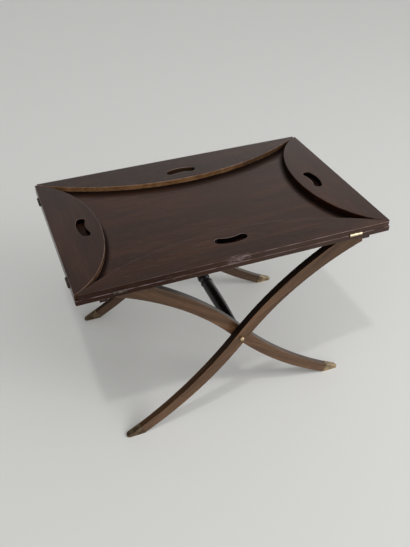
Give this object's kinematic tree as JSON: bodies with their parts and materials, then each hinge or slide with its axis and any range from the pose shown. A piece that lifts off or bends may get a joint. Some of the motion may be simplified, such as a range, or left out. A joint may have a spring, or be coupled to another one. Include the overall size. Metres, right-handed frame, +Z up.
{
  "type": "butlers tray table",
  "caption": "Oblong wooden tray with hinged curved flaps and hand holes, on a folding stand of crossed S-curved legs with brass toe caps and a turned stretcher.",
  "frame": {"origin": "middle of the floor under the table, at the bottom centre of its bounding box", "axes": "+X along the tray's length to the right, +Y from front to back, +Z up"},
  "size_m": [0.769, 0.514, 0.4843],
  "materials": {
    "tray_mahogany": "satin, worn polish",
    "leg_mahogany": "satin, worn polish",
    "ebonised_turning": "satin black stain",
    "aged_brass": "dull, tarnished"
  },
  "bodies": {
    "outer_frame": {"outer_top_rail": "leg_mahogany", "stretcher": "ebonised_turning", "front_pivot_bolt": "aged_brass", "back_pivot_bolt": "aged_brass", "pivot_washers": "aged_brass", "outer_front_leg": "leg_mahogany", "outer_front_toe_cap": "aged_brass", "outer_back_leg": "leg_mahogany", "outer_back_toe_cap": "aged_brass"},
    "inner_frame": {"inner_top_rail": "leg_mahogany", "inner_front_leg": "leg_mahogany", "inner_front_toe_cap": "aged_brass", "inner_back_leg": "leg_mahogany", "inner_back_toe_cap": "aged_brass"},
    "tray": {"tray_base": "tray_mahogany", "left_batten": "tray_mahogany", "right_batten": "tray_mahogany", "batten_screws": "aged_brass", "base_hinge_leaves": "aged_brass", "base_hinge_screws": "aged_brass", "hinge_pins": "aged_brass"},
    "front_side": {"front_flap": "tray_mahogany", "front_flap_hinge_leaves": "aged_brass", "front_flap_hinge_screws": "aged_brass"},
    "back_side": {"back_flap": "tray_mahogany", "back_flap_hinge_leaves": "aged_brass", "back_flap_hinge_screws": "aged_brass"},
    "left_side": {"left_flap": "tray_mahogany", "left_flap_hinge_leaves": "aged_brass", "left_flap_hinge_screws": "aged_brass"},
    "right_side": {"right_flap": "tray_mahogany", "right_flap_hinge_leaves": "aged_brass", "right_flap_hinge_screws": "aged_brass"}
  },
  "joints": [
    {"name": "stand_fold", "type": "hinge", "parent": "outer_frame", "child": "inner_frame", "pos_m": [0, 0, 0.2375], "axis": [0, 1, 0], "range_deg": [0, 101]},
    {"name": "tray_lift", "type": "slide", "parent": "outer_frame", "child": "tray", "axis": [0, 0, 1], "range_m": [0, 0.6]},
    {"name": "front_flap_hinge", "type": "hinge", "parent": "tray", "child": "front_side", "pos_m": [0, -0.2505, 0.47015], "axis": [1, 0, 0], "range_deg": [0, 180]},
    {"name": "back_flap_hinge", "type": "hinge", "parent": "tray", "child": "back_side", "pos_m": [0, 0.2505, 0.47015], "axis": [-1, 0, 0], "range_deg": [0, 180]},
    {"name": "left_flap_hinge", "type": "hinge", "parent": "tray", "child": "left_side", "pos_m": [-0.3805, 0, 0.47015], "axis": [0, -1, 0], "range_deg": [0, 180]},
    {"name": "right_flap_hinge", "type": "hinge", "parent": "tray", "child": "right_side", "pos_m": [0.3805, 0, 0.47015], "axis": [0, 1, 0], "range_deg": [0, 180]}
  ],
  "couplings": [
    {"joint": "tray_lift", "follows": "stand_fold", "m_per_rad": 0.34}
  ]
}
